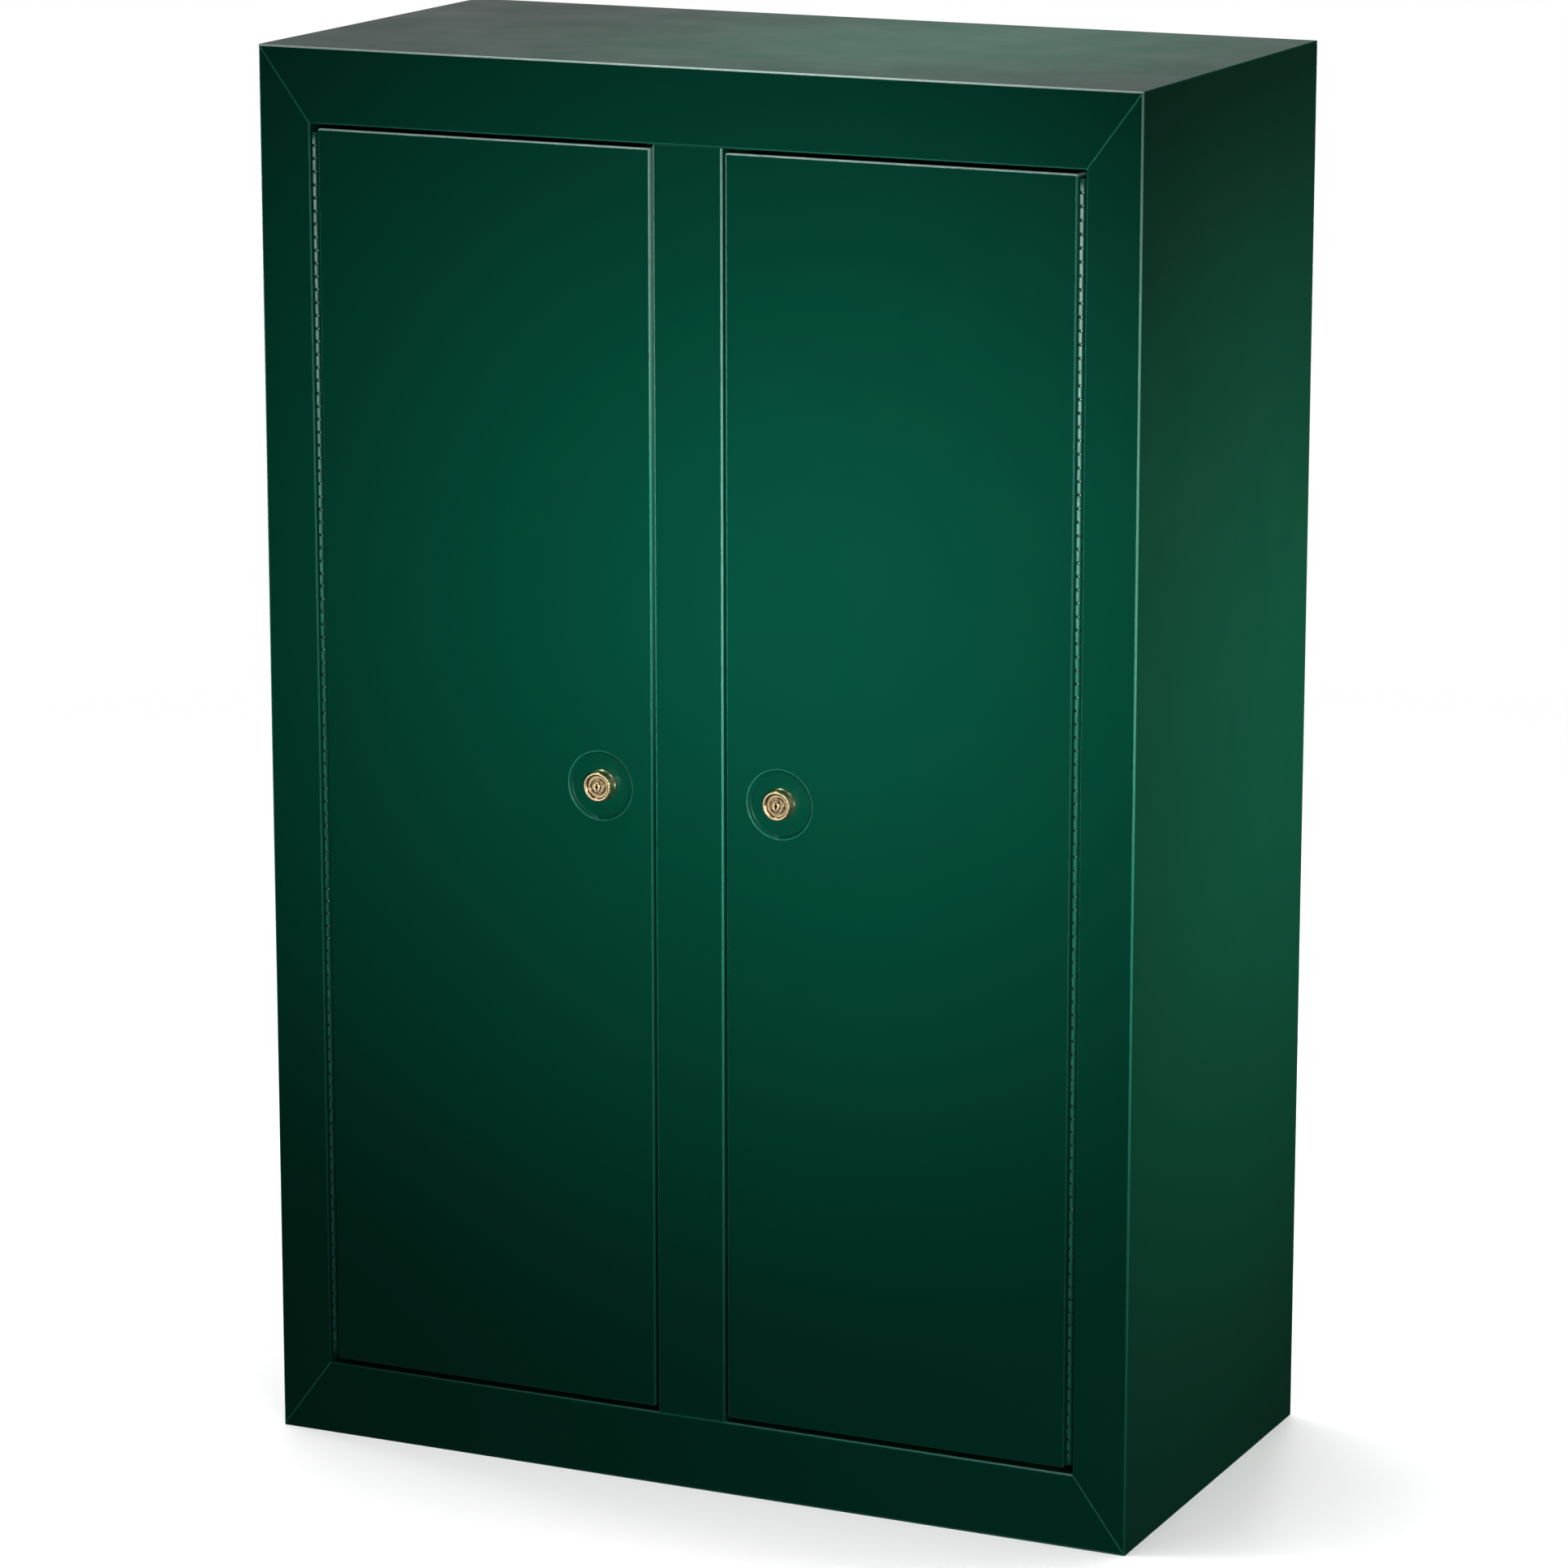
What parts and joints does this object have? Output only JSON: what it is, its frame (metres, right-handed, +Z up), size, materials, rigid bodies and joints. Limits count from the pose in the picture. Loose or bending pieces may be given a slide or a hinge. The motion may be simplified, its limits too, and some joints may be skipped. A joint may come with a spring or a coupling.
{
  "type": "gun safe",
  "caption": "Freestanding two-door sheet-steel gun cabinet with piano hinges, key locks that throw rods and a cam, a shelved bay and a padded gun bay.",
  "frame": {"origin": "centre of the case's footprint, on the floor", "axes": "+Z up, the doors face -Y, +X to the right of someone facing the doors"},
  "size_m": [0.9144, 0.4652, 1.397],
  "materials": {
    "green_paint": "dark green semi-gloss powder coat",
    "zinc_steel": "zinc-plated steel",
    "lock_brass": "satin brass-coloured lock",
    "foam_pad": "dark grey open-cell foam"
  },
  "bodies": {
    "case": {"left_side": "green_paint", "right_side": "green_paint", "top_panel": "green_paint", "bottom_panel": "green_paint", "back_panel": "green_paint", "centre_post": "green_paint", "divider": "green_paint", "left_frame_leaf": "green_paint", "right_frame_leaf": "green_paint", "left_hinge_pin": "zinc_steel", "right_hinge_pin": "zinc_steel", "side_standards": "zinc_steel", "divider_standards": "zinc_steel", "shelf_clips": "zinc_steel", "lower_shelf": "green_paint", "middle_shelf": "green_paint", "upper_shelf": "green_paint", "rest_bracket": "green_paint", "rest_rivets": "zinc_steel", "barrel_rest": "foam_pad", "left_floor_pad": "foam_pad", "right_floor_pad": "foam_pad"},
    "left_door": {"left_door_leaf": "green_paint", "left_door_skin": "green_paint", "left_door_stiffener": "green_paint", "left_rod_guides": "zinc_steel", "left_guide_rivets": "zinc_steel", "left_lock_housing": "lock_brass", "left_lock_nut": "zinc_steel"},
    "left_lock": {"left_lock_plug": "lock_brass", "left_lock_cam": "zinc_steel", "left_cam_screw": "zinc_steel"},
    "left_upper_rod": {"left_upper_rod": "zinc_steel"},
    "left_lower_rod": {"left_lower_rod": "zinc_steel"},
    "right_door": {"right_door_leaf": "green_paint", "right_door_skin": "green_paint", "right_door_stiffener": "green_paint", "right_rod_guides": "zinc_steel", "right_guide_rivets": "zinc_steel", "right_lock_housing": "lock_brass", "right_lock_nut": "zinc_steel"},
    "right_lock": {"right_lock_plug": "lock_brass", "right_lock_cam": "zinc_steel", "right_cam_screw": "zinc_steel"},
    "right_upper_rod": {"right_upper_rod": "zinc_steel"},
    "right_lower_rod": {"right_lower_rod": "zinc_steel"}
  },
  "joints": [
    {"name": "left_door_hinge", "type": "hinge", "parent": "case", "child": "left_door", "pos_m": [-0.398, -0.225, 0.7], "axis": [0, 0, -1], "range_deg": [0, 105]},
    {"name": "left_upper_rod_slide", "type": "slide", "parent": "left_door", "child": "left_upper_rod", "axis": [0, 0, 1], "range_m": [0, 0.02827]},
    {"name": "left_lock_turn", "type": "hinge", "parent": "left_door", "child": "left_lock", "pos_m": [-0.095, -0.2, 0.7], "axis": [0, -1, 0], "range_deg": [0, 90]},
    {"name": "left_lower_rod_slide", "type": "slide", "parent": "left_door", "child": "left_lower_rod", "axis": [0, 0, -1], "range_m": [0, 0.02827]},
    {"name": "right_door_hinge", "type": "hinge", "parent": "case", "child": "right_door", "pos_m": [0.398, -0.225, 0.7], "axis": [0, 0, 1], "range_deg": [0, 105]},
    {"name": "right_upper_rod_slide", "type": "slide", "parent": "right_door", "child": "right_upper_rod", "axis": [0, 0, 1], "range_m": [0, 0.02827]},
    {"name": "right_lock_turn", "type": "hinge", "parent": "right_door", "child": "right_lock", "pos_m": [0.095, -0.2, 0.7], "axis": [0, 1, 0], "range_deg": [0, 90]},
    {"name": "right_lower_rod_slide", "type": "slide", "parent": "right_door", "child": "right_lower_rod", "axis": [0, 0, -1], "range_m": [0, 0.02827]}
  ],
  "couplings": [
    {"joint": "left_lock_turn", "follows": "left_upper_rod_slide", "rad_per_m": 55.556},
    {"joint": "left_lower_rod_slide", "follows": "left_upper_rod_slide", "ratio": 1},
    {"joint": "right_lock_turn", "follows": "right_upper_rod_slide", "rad_per_m": 55.556},
    {"joint": "right_lower_rod_slide", "follows": "right_upper_rod_slide", "ratio": 1}
  ]
}
